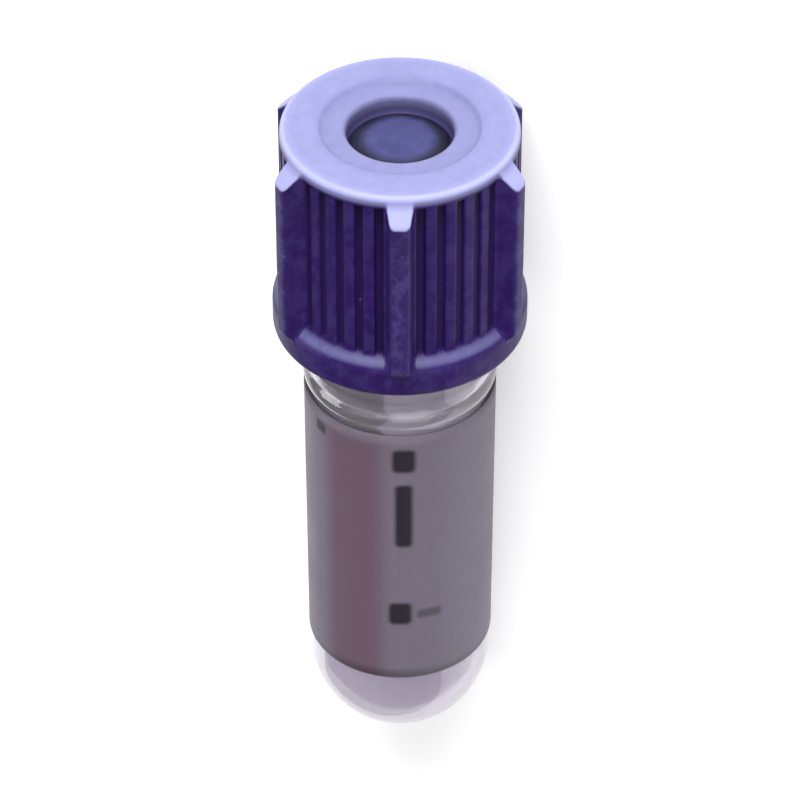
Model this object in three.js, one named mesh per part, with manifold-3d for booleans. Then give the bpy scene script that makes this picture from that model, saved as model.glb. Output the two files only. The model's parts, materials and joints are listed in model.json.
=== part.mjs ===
// Micro blood-collection tube: a clear round-bottomed tube, its wrap-round label, and a pull-off
// closure made of a rubber stopper snapped into a ribbed cap. Millimetres, +Z up.
//
// Every piece is first made upright about the tube's own axis, with the lowest point of the round
// bottom at height zero. The whole is then laid on its side, the way it comes to rest on a bench:
// on the cap's flange and on the tube's round end, the cap towards +X, the origin on the bench
// under the middle of its outline.

import * as THREE from 'three';
import { mergeVertices } from 'three/addons/utils/BufferGeometryUtils.js';
import Module from 'manifold-3d';

const wasm = await Module();
wasm.setup();

// ---- Tube ---------------------------------------------------------------------------------
const TUBE_LENGTH = 40.0;            // round bottom to mouth
const TUBE_RADIUS = 5.5;             // outside, at the mouth
const TUBE_WALL = 0.9;
const TUBE_DRAFT = 0.12;             // the radius is this much less where the round bottom starts
const MOUTH_LEAD_IN = 0.35;          // chamfer inside the mouth, for the stopper
const MOUTH_ROUND = 0.3;             // outside corner of the mouth
const BEAD_BELOW_CAP = 2.7;          // cap's lower edge to the top of the low ring on the tube
const BEAD_WIDTH = 1.3;
const BEAD_RISE = 0.18;

// ---- Label --------------------------------------------------------------------------------
const LABEL_BELOW_BEAD = 0.3;
const LABEL_ABOVE_ROUND = 1.72;      // its lower edge above the start of the round bottom
const LABEL_WRAP = 276;              // degrees round the tube; the rest is a clear window
const LABEL_THICKNESS = 0.1;
const LABEL_GAP = 0.03;              // adhesive between the paper and the tube

// ---- Stopper ------------------------------------------------------------------------------
const STOPPER_FLANGE = 2.2;          // thickness between the tube's mouth and the cap's top wall
const PLUG_DEPTH = 6.0;              // below the flange, inside the tube
const PLUG_CLEARANCE = 0.05;         // sealing rings to the bore; the real rubber is squeezed
const PLUG_RING = 1.5;               // length of one sealing ring, ramps and all
const PLUG_RING_LAND = 0.6;          // its straight part
const PLUG_WAIST = 0.25;             // how far the rubber draws in between its sealing rings
const PLUG_TAPER = 0.5;              // how much narrower the plug's tip is than its rings
const PLUG_RING_SPACING = 2.1;       // between the middles of the two sealing rings
const PLUG_TIP = 1.8;                // plug's end to the middle of the lower ring
const PLUG_WALL = 2.15;              // rubber between the sealing rings and the hollow plug's inside
const RECESS_DOME = 0.8;             // rounded end of that hollow
const RUBBER_ROUND = 0.3;            // outside corners of the rubber
const MEMBRANE = 2.6;                // rubber left for the needle, under the flange's top
const CROWN_STEP = 0.35;             // upright edge of the crown inside the cap's hole
const CROWN_DOME = 0.6;              // rise from that edge to the middle, where the needle goes in
const CROWN_CLEARANCE = 0.15;
const SEATING_GAP = 0.1;             // stopper's flange to the mouth below and the cap above

// ---- Cap ----------------------------------------------------------------------------------
const CAP_HEIGHT = 13.6;
const CAP_TOP_WALL = 1.6;
const BARREL_WALL = 0.49;            // in the grooves between the grip ribs, round the seat
const RIBS_BETWEEN_WINGS = 4;
const RIB_RISE = 0.23;
const RIB_GROOVE = 0.31;             // width of a groove's floor between two ribs
const RIB_FLANK = 0.13;              // how far a rib's side leans in on its way to the crest
const RIM_OVERHANG = 0.25;           // smooth band above the ribs, out from the grooves
const RIM_DEPTH = 0.8;
const RIM_ROUND = 0.35;
const RIM_UNDERCUT = 0.15;           // rounding of the rim's lower edge
const WINGS = 6;
const WING_PITCHES = 2;              // a wing's foot takes up the room of this many ribs
const WING_REACH = 1.05;             // from the rim out to the wing's tip
const WING_TIP_WIDTH = 1.1;
const WING_TIP_ROUND = 0.35;
const WING_NECK = 0.45;              // from the ribs' crests out to the end of the flared foot
const WING_NECK_WIDTH = 1.3;
const WING_NECK_ROUND = 0.4;
const WING_SHOULDER = 1.0;           // the wing's top slopes down this much to its tip
const FLANGE_RISE = 0.8;             // out from the grooves
const FLANGE_HEIGHT = 2.0;
const FLANGE_ROUND = 0.45;
const FLANGE_LEDGE = 0.35;           // slope from the flange's top edge up to the grooves
const HOLE_RADIUS = 3.0;
const HOLE_LIP = 0.3;                // rounding of the hole's edge
const LIP_BELLY = 0.3;               // how far out on it its middle lies, from 0 to 1
const DISH_WIDTH = 1.45;             // shallow sunk ring round the hole
const DISH_DEPTH = 0.22;
const SKIRT_CLEARANCE = 0.1;         // grip ribs inside the skirt to the tube
const GRIP_RIBS = 12;                // inside the skirt
const GRIP_RIB_RISE = 0.16;
const GRIP_RIB_WIDTH = 0.7;
const SKIRT_LEAD_IN = 0.4;
const SNAP_BITE = 0.3;               // how far the snap ring reaches under the stopper's flange
const SNAP_SLOPE = 0.8;              // length of the ramp below the snap ring
const STOPPER_SIDE_CLEARANCE = 0.06;

// ---- Resolution ---------------------------------------------------------------------------
const CUT_PAST = 1.0;                // how far a cut runs past the face it opens
const FLATS = 60;                    // round every turned surface
const HALF_FLAT = Math.PI / FLATS;   // turns the surfaces so that a flat, not a corner, lies down
const ARC_STEPS = 10;                // along a quarter of a round bottom
const DOME_STEPS = 5;                // along a shallow dome
const CORNER_STEPS = 3;              // along a rounded corner

// ---- What follows from them ---------------------------------------------------------------
const bottomRadius = TUBE_RADIUS - TUBE_DRAFT;
const boreRadius = TUBE_RADIUS - TUBE_WALL;
const bottomBore = bottomRadius - TUBE_WALL;

const flangeBottom = TUBE_LENGTH + SEATING_GAP;              // the stopper's flange
const flangeTop = flangeBottom + STOPPER_FLANGE;
const capCeiling = flangeTop + SEATING_GAP;
const capTop = capCeiling + CAP_TOP_WALL;
const capBottom = capTop - CAP_HEIGHT;

const beadTop = capBottom - BEAD_BELOW_CAP;
const labelTop = beadTop - BEAD_WIDTH - LABEL_BELOW_BEAD;
const labelBottom = bottomRadius + LABEL_ABOVE_ROUND;

const snapRadius = TUBE_RADIUS + SKIRT_CLEARANCE;            // clears the tube's mouth
const skirtRadius = snapRadius + GRIP_RIB_RISE;
const stopperRadius = snapRadius + SNAP_BITE;
const seatRadius = stopperRadius + STOPPER_SIDE_CLEARANCE;
const crownRadius = HOLE_RADIUS - CROWN_CLEARANCE;
const plugRadius = boreRadius - PLUG_CLEARANCE;
const recessRadius = plugRadius - PLUG_WALL;

const barrelRadius = seatRadius + BARREL_WALL;
const rimRadius = barrelRadius + RIM_OVERHANG;
const wingTipRadius = rimRadius + WING_REACH;
const flangeRadius = barrelRadius + FLANGE_RISE;
const ribPitch = (2 * Math.PI) / (WINGS * (RIBS_BETWEEN_WINGS + WING_PITCHES));
const dishRadius = HOLE_RADIUS + DISH_WIDTH;

// Outside radius of the drafted tube at a height above its round bottom.
function tubeRadiusAt(height) {
  const share = (height - bottomRadius) / (TUBE_LENGTH - bottomRadius);
  return bottomRadius + TUBE_DRAFT * share;
}

// ---- Making solids ------------------------------------------------------------------------

// A closed geometry as a solid: position alone, shared corners merged, collapsed faces dropped.
function toSolid(geometry) {
  geometry.deleteAttribute('normal');
  geometry.deleteAttribute('uv');
  const merged = mergeVertices(geometry, 1e-4);
  const faces = [];
  const corners = merged.index.array;
  for (let i = 0; i < corners.length; i += 3) {
    const [a, b, c] = corners.subarray(i, i + 3);
    if (a !== b && b !== c && c !== a) faces.push(a, b, c);
  }
  return new wasm.Manifold(new wasm.Mesh({
    numProp: 3,
    vertProperties: merged.attributes.position.array,
    triVerts: new Uint32Array(faces),
  }));
}

function toGeometry(solid) {
  const mesh = solid.getMesh();
  const geometry = new THREE.BufferGeometry();
  geometry.setAttribute('position', new THREE.BufferAttribute(mesh.vertProperties, 3));
  geometry.setIndex(new THREE.BufferAttribute(mesh.triVerts, 1));
  geometry.computeVertexNormals();
  return geometry;
}

// Points through corners given as [across, up, round]; a corner with a round gets a short curve
// that starts and ends that far from it. A closed run of corners also rounds its first and last.
function throughCorners(corners, closed = false) {
  const points = [];
  corners.forEach(([across, up, round = 0], i) => {
    const corner = new THREE.Vector2(across, up);
    if (!round) {
      points.push(corner);
      return;
    }
    const count = corners.length;
    const before = new THREE.Vector2(...corners[(i + count - 1) % count].slice(0, 2));
    const after = new THREE.Vector2(...corners[(i + 1) % count].slice(0, 2));
    const start = before.sub(corner).setLength(round).add(corner);
    const end = after.sub(corner).setLength(round).add(corner);
    points.push(...new THREE.QuadraticBezierCurve(start, corner, end).getPoints(CORNER_STEPS));
  });
  if (closed) points.push(points[0].clone());
  return points;
}

// A quarter circle about a centre on the axis, from one angle to another; a rise other than the
// radius makes it a quarter of an ellipse.
function quarter(centreHeight, radius, from, to, rise = radius, steps = ARC_STEPS) {
  const arc = new THREE.EllipseCurve(0, centreHeight, radius, rise, from, to, to < from);
  return arc.getPoints(steps);
}

// Turns a profile of (radius, height) points about the axis. It runs up the outside of the piece.
function turned(profile) {
  return toSolid(new THREE.LatheGeometry(profile, FLATS, HALF_FLAT).rotateX(Math.PI / 2));
}

// A flat outline raised from one height to another.
function raised(outline, from, to) {
  const geometry = new THREE.ExtrudeGeometry(new THREE.Shape(outline), {
    depth: to - from,
    bevelEnabled: false,
  });
  return toSolid(geometry.translate(0, 0, from));
}

// Corner points of ribs standing on a circle, each given as [angle, root width, crest width]: a
// flank, a crest and a flank. With a negative rise they stand inwards.
function ribbedCircle(radius, rise, ribs) {
  const crest = radius + rise;
  return ribs.flatMap(([angle, rootWidth, crestWidth]) => [
    [radius, angle - rootWidth / 2 / radius],
    [crest, angle - crestWidth / 2 / crest],
    [crest, angle + crestWidth / 2 / crest],
    [radius, angle + rootWidth / 2 / radius],
  ]).map(([r, a]) => new THREE.Vector2(r * Math.cos(a), r * Math.sin(a)));
}

// Evenly spaced angles round the cap, the first one offset from straight down.
function spaced(count, first = 0) {
  return Array.from({ length: count }, (_, i) => first + (i * 2 * Math.PI) / count);
}

const wingAngles = spaced(WINGS, Math.PI / WINGS);

// ---- The pieces ---------------------------------------------------------------------------

// Moulded tube: drafted wall, round bottom, a low ring under the cap and a chamfered mouth.
function makeTube() {
  const beadFoot = beadTop - BEAD_WIDTH;
  return turned([
    ...quarter(bottomRadius, bottomRadius, -Math.PI / 2, 0),
    ...throughCorners([
      [tubeRadiusAt(beadFoot), beadFoot],
      [tubeRadiusAt(beadFoot) + BEAD_RISE, beadFoot + BEAD_WIDTH / 3],
      [tubeRadiusAt(beadTop) + BEAD_RISE, beadTop - BEAD_WIDTH / 3],
      [tubeRadiusAt(beadTop), beadTop],
      [TUBE_RADIUS, TUBE_LENGTH, MOUTH_ROUND],
      [boreRadius + MOUTH_LEAD_IN, TUBE_LENGTH],
      [boreRadius, TUBE_LENGTH - MOUTH_LEAD_IN],
    ]),
    ...quarter(bottomRadius, bottomBore, 0, -Math.PI / 2),
  ]);
}

// Paper wrapped most of the way round, following the tube's draft; the window lies underneath.
function makeLabel() {
  const inside = (height) => tubeRadiusAt(height) + LABEL_GAP;
  const sleeve = turned(throughCorners([
    [inside(labelBottom), labelBottom],
    [inside(labelBottom) + LABEL_THICKNESS, labelBottom],
    [inside(labelTop) + LABEL_THICKNESS, labelTop],
    [inside(labelTop), labelTop],
  ], true));
  const reach = 2 * TUBE_RADIUS;                             // past the label on every side
  const halfWindow = THREE.MathUtils.degToRad(360 - LABEL_WRAP) / 2;
  const wedge = raised([
    new THREE.Vector2(0, 0),
    new THREE.Vector2(reach, -reach * Math.tan(halfWindow)),
    new THREE.Vector2(reach, reach * Math.tan(halfWindow)),
  ], labelBottom - CUT_PAST, labelTop + CUT_PAST);
  return sleeve.subtract(wedge);
}

// Rubber stopper: a flange on the tube's mouth, a hollow plug with two sealing rings in its bore,
// and a low crown that fills the cap's hole and takes the needle.
function makeStopper() {
  const plugBottom = flangeBottom - PLUG_DEPTH;
  const recessTop = flangeTop - MEMBRANE;
  const waist = plugRadius - PLUG_WAIST;
  const ring = (middle) => [
    [waist, middle - PLUG_RING / 2],
    [plugRadius, middle - PLUG_RING_LAND / 2],
    [plugRadius, middle + PLUG_RING_LAND / 2],
    [waist, middle + PLUG_RING / 2],
  ];
  return turned([
    ...quarter(recessTop - RECESS_DOME, recessRadius, Math.PI / 2, 0, RECESS_DOME, DOME_STEPS),
    ...throughCorners([
      [recessRadius, plugBottom],
      [plugRadius - PLUG_TAPER, plugBottom, RUBBER_ROUND],
      ...ring(plugBottom + PLUG_TIP),
      ...ring(plugBottom + PLUG_TIP + PLUG_RING_SPACING),
      [waist, flangeBottom],
      [stopperRadius, flangeBottom, RUBBER_ROUND],
      [stopperRadius, flangeTop, RUBBER_ROUND],
      [crownRadius, flangeTop],
    ]),
    ...quarter(flangeTop + CROWN_STEP, crownRadius, 0, Math.PI / 2, CROWN_DOME, DOME_STEPS),
  ]);
}

// Width at the root of a rib that takes up the room of some pitches, less one groove.
function rootWidth(pitches) {
  return pitches * ribPitch * barrelRadius - RIB_GROOVE;
}

// The wings, each flaring into the wide rib that is its foot, cut to height by the envelope that
// they share.
function makeWings() {
  const foot = barrelRadius + RIB_RISE / 2;
  const footHalf = rootWidth(WING_PITCHES) / 2 - RIB_FLANK;
  const neckRadius = barrelRadius + RIB_RISE + WING_NECK;
  const section = throughCorners([
    [seatRadius, -footHalf],
    [foot, -footHalf],
    [neckRadius, -WING_NECK_WIDTH / 2, WING_NECK_ROUND],
    [wingTipRadius, -WING_TIP_WIDTH / 2, WING_TIP_ROUND],
    [wingTipRadius, WING_TIP_WIDTH / 2, WING_TIP_ROUND],
    [neckRadius, WING_NECK_WIDTH / 2, WING_NECK_ROUND],
    [foot, footHalf],
    [seatRadius, footHalf],
  ]);
  const shoulder = capTop - RIM_ROUND;
  const beyond = wingTipRadius + WING_REACH;
  const wing = raised(section, capBottom + FLANGE_HEIGHT / 2, shoulder);
  const envelope = turned([
    new THREE.Vector2(0, capBottom),
    new THREE.Vector2(flangeRadius, capBottom + FLANGE_HEIGHT - FLANGE_ROUND),
    new THREE.Vector2(beyond, capBottom + FLANGE_HEIGHT + WING_REACH),
    new THREE.Vector2(beyond, shoulder - 2 * WING_SHOULDER),
    new THREE.Vector2(rimRadius, shoulder),
    new THREE.Vector2(0, shoulder),
  ]);
  return wingAngles
    .map((angle) => wing.rotate([0, 0, THREE.MathUtils.radToDeg(angle)]))
    .reduce((all, next) => all.add(next))
    .intersect(envelope);
}

// The cap's outside: rim, ribbed barrel, wings and flange in one moulding, still without a hollow.
function makeCapOutside() {
  const rib = (angle, pitches) => [angle, rootWidth(pitches), rootWidth(pitches) - 2 * RIB_FLANK];
  const afterWing = (WING_PITCHES + 1) / 2;
  const ribs = wingAngles.flatMap((wing) => [
    rib(wing, WING_PITCHES),
    ...Array.from({ length: RIBS_BETWEEN_WINGS }, (_, i) => rib(wing + (afterWing + i) * ribPitch, 1)),
  ]);
  const barrel = raised(
    ribbedCircle(barrelRadius, RIB_RISE, ribs),
    capBottom + FLANGE_HEIGHT / 2,
    capTop - RIM_DEPTH / 2,
  );
  const rim = turned(throughCorners([
    [0, capTop - RIM_DEPTH],
    [rimRadius, capTop - RIM_DEPTH, RIM_UNDERCUT],
    [rimRadius, capTop, RIM_ROUND],
    [0, capTop],
  ]));
  const flange = turned(throughCorners([
    [0, capBottom],
    [flangeRadius, capBottom, FLANGE_ROUND],
    [flangeRadius, capBottom + FLANGE_HEIGHT, FLANGE_ROUND],
    [barrelRadius, capBottom + FLANGE_HEIGHT + FLANGE_LEDGE],
    [0, capBottom + FLANGE_HEIGHT + FLANGE_LEDGE],
  ]));
  return barrel.add(rim).add(flange).add(makeWings());
}

// The hollow under the cap: a skirt bore with grip ribs, the snap ring and the stopper's seat.
function makeCapHollow() {
  const below = capBottom - CUT_PAST;
  const snap = flangeBottom - SEATING_GAP;
  const bore = raised(
    ribbedCircle(
      skirtRadius,
      -GRIP_RIB_RISE,
      spaced(GRIP_RIBS).map((angle) => [angle, GRIP_RIB_WIDTH, GRIP_RIB_WIDTH / 2]),
    ),
    below,
    snap - SNAP_SLOPE,
  );
  const leadIn = turned([
    new THREE.Vector2(0, below),
    new THREE.Vector2(skirtRadius + SKIRT_LEAD_IN + CUT_PAST, below),
    new THREE.Vector2(skirtRadius - GRIP_RIB_RISE, capBottom + SKIRT_LEAD_IN + GRIP_RIB_RISE),
    new THREE.Vector2(0, capBottom + SKIRT_LEAD_IN + GRIP_RIB_RISE),
  ]);
  const seat = turned([
    new THREE.Vector2(0, snap - 2 * SNAP_SLOPE),
    new THREE.Vector2(snapRadius, snap - 2 * SNAP_SLOPE),
    new THREE.Vector2(snapRadius, snap),
    new THREE.Vector2(seatRadius, snap),
    new THREE.Vector2(seatRadius, capCeiling),
    new THREE.Vector2(0, capCeiling),
  ]);
  return bore.add(leadIn).add(seat);
}

// The needle hole with its rounded lip, in the middle of a shallow sunk ring.
function makeNeedleHole() {
  const start = capCeiling - SEATING_GAP;
  const dishFloor = capTop - DISH_DEPTH;
  return turned(throughCorners([
    [0, start],
    [HOLE_RADIUS, start],
    [HOLE_RADIUS, dishFloor - HOLE_LIP],
    [HOLE_RADIUS + HOLE_LIP * LIP_BELLY, dishFloor - HOLE_LIP * LIP_BELLY],
    [HOLE_RADIUS + HOLE_LIP, dishFloor],
    [dishRadius - DISH_DEPTH / 2, dishFloor],
    [dishRadius + DISH_DEPTH / 2, capTop],
    [dishRadius + DISH_DEPTH / 2, capTop + CUT_PAST],
    [0, capTop + CUT_PAST],
  ]));
}

function makeCap() {
  return makeCapOutside().subtract(makeCapHollow()).subtract(makeNeedleHole());
}

// ---- Materials ----------------------------------------------------------------------------
const clearPlastic = new THREE.MeshStandardMaterial({
  color: 0xdfe2e6, roughness: 0.12, metalness: 0, transparent: true, opacity: 0.4,
});
const paper = new THREE.MeshStandardMaterial({ color: 0xe9e6ea, roughness: 0.75, metalness: 0 });
const rubber = new THREE.MeshStandardMaterial({ color: 0x5a5a9a, roughness: 0.6, metalness: 0 });
const violetPlastic = new THREE.MeshStandardMaterial({
  color: 0x4a3a96, roughness: 0.4, metalness: 0,
});

// ---- Assembly -----------------------------------------------------------------------------
function piece(name, solid, material) {
  const mesh = new THREE.Mesh(toGeometry(solid), material);
  mesh.name = name;
  return mesh;
}

const upright = new THREE.Group();
upright.add(
  piece('tube', makeTube(), clearPlastic),
  piece('label', makeLabel(), paper),
  piece('stopper', makeStopper(), rubber),
  piece('cap', makeCap(), violetPlastic),
);

// Lying down, the flat under the flange's edge and the one where the round bottom starts both
// touch the bench, so the cap's end stands a few degrees high.
const restSpan = capBottom + FLANGE_ROUND - bottomRadius;
const restStep = (flangeRadius - bottomRadius) * Math.cos(HALF_FLAT);
const tilt = Math.atan2(restStep, restSpan);
upright.rotation.y = Math.PI / 2 - tilt;

const bloodTube = new THREE.Group();
bloodTube.add(upright);
bloodTube.updateMatrixWorld(true);
const outline = new THREE.Box3().setFromObject(bloodTube, true);
const middle = outline.getCenter(new THREE.Vector3());
upright.position.set(-middle.x, -middle.y, -outline.min.z);

export default bloodTube;
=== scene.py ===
"""Micro blood-collection tube with a pull-off closure, lying on a pale bench.

A clear round-bottomed tube, a paper label wrapped most of the way round it, a soft rubber stopper
and a ribbed, winged cap. Every piece is worked out upright, in its own frame: height runs up the
tube's axis from the tip of its round bottom, and the angle round the axis starts at the side that
lies on the bench. `place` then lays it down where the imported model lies.
"""

import json
import math

import bpy
import numpy as np
from bpy.props import FloatProperty, FloatVectorProperty, IntProperty, PointerProperty
from mathutils import Matrix, Vector


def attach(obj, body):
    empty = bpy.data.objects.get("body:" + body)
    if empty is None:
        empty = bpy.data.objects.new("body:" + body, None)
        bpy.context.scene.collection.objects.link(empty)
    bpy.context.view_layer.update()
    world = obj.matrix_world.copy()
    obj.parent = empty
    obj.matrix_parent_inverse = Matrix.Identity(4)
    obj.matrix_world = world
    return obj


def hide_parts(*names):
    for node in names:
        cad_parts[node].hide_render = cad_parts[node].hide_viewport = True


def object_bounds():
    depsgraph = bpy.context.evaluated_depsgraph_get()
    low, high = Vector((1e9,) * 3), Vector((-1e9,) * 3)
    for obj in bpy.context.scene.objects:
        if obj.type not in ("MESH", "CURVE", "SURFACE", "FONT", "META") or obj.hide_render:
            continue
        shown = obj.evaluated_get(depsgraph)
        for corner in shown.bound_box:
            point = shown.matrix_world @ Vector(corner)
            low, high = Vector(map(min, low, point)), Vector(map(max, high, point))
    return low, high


bl_info = {
    "name": "Micro Blood Tube",
    "version": (1, 0, 0),
    "blender": (4, 5, 0),
    "location": "View3D > Sidebar > Blood Tube",
    "description": "Makes a labelled micro blood-collection tube, its closure and a small studio",
    "category": "Object",
}

MM = 0.001

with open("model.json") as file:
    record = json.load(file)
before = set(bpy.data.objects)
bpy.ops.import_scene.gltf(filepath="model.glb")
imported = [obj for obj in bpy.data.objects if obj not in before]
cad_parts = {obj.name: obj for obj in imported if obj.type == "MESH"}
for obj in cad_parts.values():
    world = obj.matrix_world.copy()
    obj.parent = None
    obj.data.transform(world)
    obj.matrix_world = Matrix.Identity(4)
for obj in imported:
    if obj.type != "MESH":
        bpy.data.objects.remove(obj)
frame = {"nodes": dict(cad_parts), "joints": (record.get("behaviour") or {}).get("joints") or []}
cad_box = [list(corner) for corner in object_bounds()]


# ---- The tube's own frame ----


def unit(vector):
    return np.asarray(vector, float) / np.linalg.norm(vector)


def corners_of(node):
    """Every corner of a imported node, as an array of points in metres."""
    mesh = frame["nodes"][node].data
    points = np.empty(len(mesh.vertices) * 3, np.float32)
    mesh.vertices.foreach_get("co", points)
    return points.reshape(-1, 3).astype(float)


AXIS = unit(frame["joints"][0]["axis"])  # the closure slides off along it
ACROSS = np.array([0.0, 1.0, 0.0])  # level with the bench
DOWN = np.cross(ACROSS, AXIS)
BASIS = np.stack([DOWN, ACROSS, AXIS])


def tip_of_tube():
    """The centre of the tube's outline in its own frame, at the height of its lowest point."""
    own = corners_of("tube") @ BASIS.T
    middle = (own.min(axis=0) + own.max(axis=0)) / 2
    middle[2] = own[:, 2].min()
    return middle @ BASIS


TIP = tip_of_tube()


def measure(node, low=0.0, high=1.0):
    """Lowest and highest height of a node, and its greatest distance from the axis between two
    shares of that height."""
    own = (corners_of(node) - TIP) @ BASIS.T
    height, away = own[:, 2], np.hypot(own[:, 0], own[:, 1])
    bottom, top = height.min(), height.max()
    share = (height - bottom) / (top - bottom)
    slack = 1e-6  # so that corners on a limit count
    inside = away[(share >= low - slack) & (share <= high + slack)]
    return bottom, top, inside.max()


def place(points):
    """Points in the tube's own frame laid down on the bench."""
    return points @ BASIS + TIP


MOUTH_SHARE = 0.985  # of the tube's height, above which there is only its mouth
COLLAR_SHARE = 0.12  # of the cap's height, below which there is only its collar

TUBE_FOOT, TUBE_HEAD, _ = measure("tube")
_, _, TUBE_AT_MOUTH = measure("tube", low=MOUTH_SHARE)
CAP_FOOT, CAP_HEAD, _ = measure("cap")
_, _, FLANGE_AT_FOOT = measure("cap", high=COLLAR_SHARE)
LABEL_FOOT, LABEL_HEAD, _ = measure("label")
PLUG_FOOT, CROWN_HEAD, STOPPER_AT_FLANGE = measure("stopper")


# ---- Sizes and colours ----


def length(name, description, default):
    settings = {"min": 0.0, "precision": 5, "subtype": "DISTANCE", "unit": "LENGTH"}
    return FloatProperty(name=name, description=description, default=default, **settings)


def colour(name, description, default):
    settings = {"min": 0.0, "max": 1.0, "size": 3, "subtype": "COLOR"}
    return FloatVectorProperty(name=name, description=description, default=default, **settings)


def angle(name, description, degrees):
    settings = {"default": math.radians(degrees), "subtype": "ANGLE", "unit": "ROTATION"}
    return FloatProperty(name=name, description=description, **settings)


class BloodTubeVessel(bpy.types.PropertyGroup):
    """Sizes and colour of the clear tube"""

    tall: length("Length", "From the round bottom to the mouth", TUBE_HEAD - TUBE_FOOT)
    radius: length("Radius", "Outside, at the mouth", TUBE_AT_MOUTH)
    wall: length("Wall", "Thickness of the plastic", 0.9 * MM)
    draft: length("Draft", "How much narrower it is where the round bottom starts", 0.12 * MM)
    mouth_round: length("Mouth round", "Outside corner of the mouth", 0.3 * MM)
    lead_in: length("Lead-in", "Chamfer inside the mouth", 0.35 * MM)
    bead_drop: length("Bead drop", "From the cap's lower edge to the bead's top", 2.7 * MM)
    bead_width: length("Bead width", "Height of the low ring under the cap", 1.3 * MM)
    bead_rise: length("Bead rise", "How far the low ring stands out", 0.18 * MM)
    tint: colour("Tint", "What the clear plastic lets through", (0.66, 0.61, 0.71))


class BloodTubeLabel(bpy.types.PropertyGroup):
    """Sizes and colours of the wrapped label"""

    foot: length("Foot", "Height of its lower edge above the tube's tip", LABEL_FOOT)
    head: length("Head", "Height of its upper edge above the tube's tip", LABEL_HEAD)
    wrap: angle("Wrap", "How far it goes round; the rest is a clear window", 276)
    thick: length("Thickness", "Of the paper", 0.1 * MM)
    glue: length("Adhesive", "Between the paper and the tube", 0.03 * MM)
    corner: length("Corner", "Radius of its rounded corners", 1.0 * MM)
    # Both label colours are darker than the paper and its print, as painted shade.
    paper: colour("Paper", "Coated paper", (0.172, 0.147, 0.196))
    band: colour("Band", "Colour field along the label", (0.14, 0.083, 0.122))
    ink: colour("Ink", "Dark printed bars", (0.012, 0.007, 0.015))


class BloodTubeStopper(bpy.types.PropertyGroup):
    """Sizes and colour of the rubber stopper"""

    foot: length("Foot", "Height of the plug's end above the tube's tip", PLUG_FOOT)
    crown_head: length("Crown", "Height of the crown's middle above the tube's tip", CROWN_HEAD)
    radius: length("Radius", "Of its flange", STOPPER_AT_FLANGE)
    flange: length("Flange", "Thickness between the tube's mouth and the cap", 2.2 * MM)
    gap: length("Seating gap", "From the mouth to the flange", 0.1 * MM)
    plug_clearance: length("Plug clearance", "Sealing rings to the bore", 0.05 * MM)
    waist: length("Waist", "How far it draws in between its sealing rings", 0.25 * MM)
    crown_radius: length("Crown radius", "Inside the cap's hole", 2.85 * MM)
    crown_step: length("Crown step", "Upright edge of the crown", 0.35 * MM)
    recess: length("Recess radius", "Hollow in the plug's underside", 2.4 * MM)
    membrane: length("Membrane", "Rubber left for the needle", 2.6 * MM)
    rubber: colour("Rubber", "Soft stopper rubber", (0.036, 0.037, 0.130))


class BloodTubeCap(bpy.types.PropertyGroup):
    """Sizes and colours of the ribbed cap"""

    foot: length("Foot", "Height of its lower edge above the tube's tip", CAP_FOOT)
    head: length("Head", "Height of its top above the tube's tip", CAP_HEAD)
    top_wall: length("Top wall", "Over the stopper", 1.6 * MM)
    barrel: length("Barrel radius", "In the grooves between the grip ribs", 6.45 * MM)
    rib_rise: length("Rib rise", "How far a grip rib stands out", 0.23 * MM)
    groove: length("Groove", "Width of a groove's floor between two ribs", 0.31 * MM)
    rib_flank: length("Rib flank", "How far a rib's side leans in", 0.13 * MM)
    ribs: IntProperty(name="Ribs", description="Between two wings", default=4, min=1)
    foot_ribs: IntProperty(name="Foot", description="Ribs that a wing stands for", default=2, min=1)
    rim: length("Rim radius", "Smooth band above the ribs", 6.7 * MM)
    rim_depth: length("Rim depth", "Height of that band", 0.8 * MM)
    rim_round: length("Rim round", "Of its upper edge", 0.35 * MM)
    wings: IntProperty(name="Wings", description="Upright fins round the cap", default=6, min=1)
    wing_tip: length("Wing tip radius", "From the axis to a wing's tip", 7.75 * MM)
    wing_tip_width: length("Wing tip width", "Thickness of a wing at its tip", 1.1 * MM)
    wing_neck: length("Wing neck", "From the ribs' crests out to the flared foot's end", 0.45 * MM)
    wing_neck_width: length("Wing neck width", "Above the flared foot", 1.3 * MM)
    wing_shoulder: length("Wing shoulder", "How far its top slopes down", 1.0 * MM)
    flange: length("Flange radius", "Of the collar at the foot", FLANGE_AT_FOOT)
    flange_tall: length("Flange height", "Of that collar", 2.0 * MM)
    flange_round: length("Flange round", "Of the collar's edges", 0.45 * MM)
    ledge: length("Ledge", "Slope from the collar up to the barrel", 0.6 * MM)
    hole: length("Hole radius", "Where the needle goes in", 3.0 * MM)
    lip: length("Hole lip", "Rounding of the hole's edge", 0.3 * MM)
    dish: length("Dish radius", "Shallow sunk ring round the hole", 4.45 * MM)
    dish_depth: length("Dish depth", "Of that ring", 0.22 * MM)
    skirt: length("Skirt radius", "Inside the skirt, between its ribs", 5.76 * MM)
    snap: length("Snap radius", "Inside the ring that holds the stopper", 5.6 * MM)
    seat: length("Seat radius", "Round the stopper's flange", 5.96 * MM)
    # The side colour is the violet plastic darkened further, as painted shade.
    side: colour("Side", "Deep violet plastic", (0.020, 0.006, 0.086))
    # Painted light: the top colour is paler for the light that falls on the top face.
    top: colour("Top", "Where the top face has bloomed pale", (0.24, 0.25, 0.46))
    # Painted highlight on the rim's edge and the wings' shoulders.
    painted_rim_highlight: colour("Rim", "Paler edge of the rim and the wings' shoulders", (0.36, 0.37, 0.66))


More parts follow.
